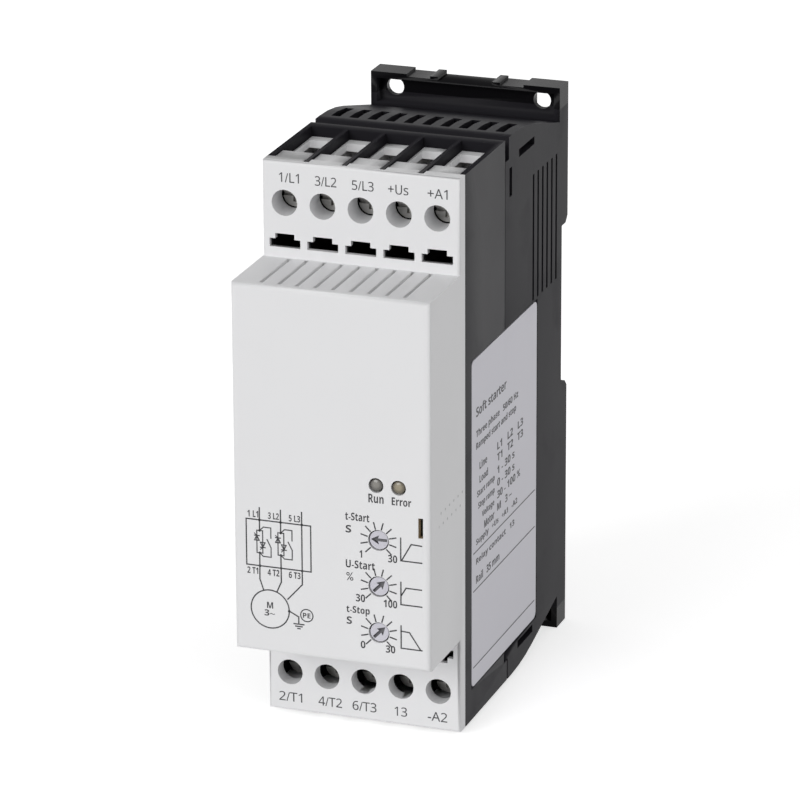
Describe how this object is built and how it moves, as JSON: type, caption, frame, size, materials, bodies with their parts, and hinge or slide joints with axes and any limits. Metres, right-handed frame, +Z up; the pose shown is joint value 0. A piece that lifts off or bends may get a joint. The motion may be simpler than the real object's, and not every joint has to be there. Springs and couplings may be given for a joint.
{
  "type": "soft starter",
  "caption": "Slim rail-mounted motor soft starter with a protruding grey control panel, screw terminals above and below, vented dark housing and side label.",
  "frame": {"origin": "centre of the rail seat on the housing's back face", "axes": "+Y out of the back towards the wall, so the panel faces -Y; +Z up; +X towards the side with the rating label"},
  "size_m": [0.045, 0.095, 0.13],
  "materials": {
    "cover_plastic": "fine matte",
    "housing_plastic": "fine matte",
    "plated_steel": "zinc plated",
    "tinned_copper": "tinned",
    "circuit_board": "solder mask",
    "black_plastic": "moulded",
    "relay_case": "moulded",
    "sink_aluminium": "extruded",
    "label_film": "satin film",
    "dial_plastic": "moulded",
    "light_pipe": "diffusing",
    "latch_plastic": "moulded"
  },
  "bodies": {
    "case": {"front_cover": "cover_plastic", "front_housing": "housing_plastic", "rear_housing": "housing_plastic", "rating_label": "label_film", "control_board": "circuit_board", "control_chip": "black_plastic", "power_board": "circuit_board", "board_connector": "black_plastic", "bypass_relay_1": "relay_case", "bypass_relay_2": "relay_case", "supply_transformer": "relay_case", "supply_capacitor": "black_plastic", "thyristor_module_1": "black_plastic", "thyristor_module_2": "black_plastic", "module_screw_1": "plated_steel", "module_screw_2": "plated_steel", "heat_sink": "sink_aluminium", "dial_body_1": "black_plastic", "dial_body_2": "black_plastic", "dial_body_3": "black_plastic", "light_pipe_run": "light_pipe", "light_pipe_fault": "light_pipe", "latch_spring": "plated_steel", "line_bar_1": "tinned_copper", "line_bar_2": "tinned_copper", "line_bar_3": "tinned_copper", "line_bar_4": "tinned_copper", "line_bar_5": "tinned_copper", "load_bar_1": "tinned_copper", "load_bar_2": "tinned_copper", "load_bar_3": "tinned_copper", "load_bar_4": "tinned_copper", "load_bar_5": "tinned_copper"},
    "screw_1": {"terminal_screw_1": "plated_steel"},
    "clamp_1": {"terminal_clamp_1": "plated_steel"},
    "screw_2": {"terminal_screw_2": "plated_steel"},
    "clamp_2": {"terminal_clamp_2": "plated_steel"},
    "screw_3": {"terminal_screw_3": "plated_steel"},
    "clamp_3": {"terminal_clamp_3": "plated_steel"},
    "screw_4": {"terminal_screw_4": "plated_steel"},
    "clamp_4": {"terminal_clamp_4": "plated_steel"},
    "screw_5": {"terminal_screw_5": "plated_steel"},
    "clamp_5": {"terminal_clamp_5": "plated_steel"},
    "screw_6": {"terminal_screw_6": "plated_steel"},
    "clamp_6": {"terminal_clamp_6": "plated_steel"},
    "screw_7": {"terminal_screw_7": "plated_steel"},
    "clamp_7": {"terminal_clamp_7": "plated_steel"},
    "screw_8": {"terminal_screw_8": "plated_steel"},
    "clamp_8": {"terminal_clamp_8": "plated_steel"},
    "screw_9": {"terminal_screw_9": "plated_steel"},
    "clamp_9": {"terminal_clamp_9": "plated_steel"},
    "screw_10": {"terminal_screw_10": "plated_steel"},
    "clamp_10": {"terminal_clamp_10": "plated_steel"},
    "dial_1": {"dial_rotor_1": "dial_plastic"},
    "dial_2": {"dial_rotor_2": "dial_plastic"},
    "dial_3": {"dial_rotor_3": "dial_plastic"},
    "latch": {"rail_latch": "latch_plastic"}
  },
  "joints": [
    {"name": "screw_1_turn", "type": "hinge", "parent": "case", "child": "screw_1", "pos_m": [-0.0174, -0.0645, 0.0413], "axis": [0, 1, 0], "range_deg": [0, 2340]},
    {"name": "clamp_1_slide", "type": "slide", "parent": "case", "child": "clamp_1", "axis": [0, -1, 0], "range_m": [0, 0.0039]},
    {"name": "screw_2_turn", "type": "hinge", "parent": "case", "child": "screw_2", "pos_m": [-0.0087, -0.0645, 0.0413], "axis": [0, 1, 0], "range_deg": [0, 2340]},
    {"name": "clamp_2_slide", "type": "slide", "parent": "case", "child": "clamp_2", "axis": [0, -1, 0], "range_m": [0, 0.0039]},
    {"name": "screw_3_turn", "type": "hinge", "parent": "case", "child": "screw_3", "pos_m": [0, -0.0645, 0.0413], "axis": [0, 1, 0], "range_deg": [0, 2340]},
    {"name": "clamp_3_slide", "type": "slide", "parent": "case", "child": "clamp_3", "axis": [0, -1, 0], "range_m": [0, 0.0039]},
    {"name": "screw_4_turn", "type": "hinge", "parent": "case", "child": "screw_4", "pos_m": [0.0087, -0.0645, 0.0413], "axis": [0, 1, 0], "range_deg": [0, 2340]},
    {"name": "clamp_4_slide", "type": "slide", "parent": "case", "child": "clamp_4", "axis": [0, -1, 0], "range_m": [0, 0.0039]},
    {"name": "screw_5_turn", "type": "hinge", "parent": "case", "child": "screw_5", "pos_m": [0.0174, -0.0645, 0.0413], "axis": [0, 1, 0], "range_deg": [0, 2340]},
    {"name": "clamp_5_slide", "type": "slide", "parent": "case", "child": "clamp_5", "axis": [0, -1, 0], "range_m": [0, 0.0039]},
    {"name": "screw_6_turn", "type": "hinge", "parent": "case", "child": "screw_6", "pos_m": [-0.0174, -0.0645, -0.0677], "axis": [0, 1, 0], "range_deg": [0, 2340]},
    {"name": "clamp_6_slide", "type": "slide", "parent": "case", "child": "clamp_6", "axis": [0, -1, 0], "range_m": [0, 0.0039]},
    {"name": "screw_7_turn", "type": "hinge", "parent": "case", "child": "screw_7", "pos_m": [-0.0087, -0.0645, -0.0677], "axis": [0, 1, 0], "range_deg": [0, 2340]},
    {"name": "clamp_7_slide", "type": "slide", "parent": "case", "child": "clamp_7", "axis": [0, -1, 0], "range_m": [0, 0.0039]},
    {"name": "screw_8_turn", "type": "hinge", "parent": "case", "child": "screw_8", "pos_m": [0, -0.0645, -0.0677], "axis": [0, 1, 0], "range_deg": [0, 2340]},
    {"name": "clamp_8_slide", "type": "slide", "parent": "case", "child": "clamp_8", "axis": [0, -1, 0], "range_m": [0, 0.0039]},
    {"name": "screw_9_turn", "type": "hinge", "parent": "case", "child": "screw_9", "pos_m": [0.0087, -0.0645, -0.0677], "axis": [0, 1, 0], "range_deg": [0, 2340]},
    {"name": "clamp_9_slide", "type": "slide", "parent": "case", "child": "clamp_9", "axis": [0, -1, 0], "range_m": [0, 0.0039]},
    {"name": "screw_10_turn", "type": "hinge", "parent": "case", "child": "screw_10", "pos_m": [0.0174, -0.0645, -0.0677], "axis": [0, 1, 0], "range_deg": [0, 2340]},
    {"name": "clamp_10_slide", "type": "slide", "parent": "case", "child": "clamp_10", "axis": [0, -1, 0], "range_m": [0, 0.0039]},
    {"name": "dial_1_turn", "type": "hinge", "parent": "case", "child": "dial_1", "pos_m": [0.0108, -0.0904, -0.0258], "axis": [0, 1, 0], "range_deg": [-60, 240]},
    {"name": "dial_2_turn", "type": "hinge", "parent": "case", "child": "dial_2", "pos_m": [0.0108, -0.0904, -0.03645], "axis": [0, 1, 0], "range_deg": [-195, 105]},
    {"name": "dial_3_turn", "type": "hinge", "parent": "case", "child": "dial_3", "pos_m": [0.0108, -0.0904, -0.0471], "axis": [0, 1, 0], "range_deg": [-195, 105]},
    {"name": "latch_slide", "type": "slide", "parent": "case", "child": "latch", "axis": [0, 0, -1], "range_m": [0, 0.0035], "stiffness_N_per_m": 250, "springref_m": -0.002, "deforming": ["latch_spring"]}
  ],
  "couplings": [
    {"joint": "screw_1_turn", "follows": "clamp_1_slide", "rad_per_m": 10471},
    {"joint": "screw_2_turn", "follows": "clamp_2_slide", "rad_per_m": 10471},
    {"joint": "screw_3_turn", "follows": "clamp_3_slide", "rad_per_m": 10471},
    {"joint": "screw_4_turn", "follows": "clamp_4_slide", "rad_per_m": 10471},
    {"joint": "screw_5_turn", "follows": "clamp_5_slide", "rad_per_m": 10471},
    {"joint": "screw_6_turn", "follows": "clamp_6_slide", "rad_per_m": 10471},
    {"joint": "screw_7_turn", "follows": "clamp_7_slide", "rad_per_m": 10471},
    {"joint": "screw_8_turn", "follows": "clamp_8_slide", "rad_per_m": 10471},
    {"joint": "screw_9_turn", "follows": "clamp_9_slide", "rad_per_m": 10471},
    {"joint": "screw_10_turn", "follows": "clamp_10_slide", "rad_per_m": 10471}
  ]
}
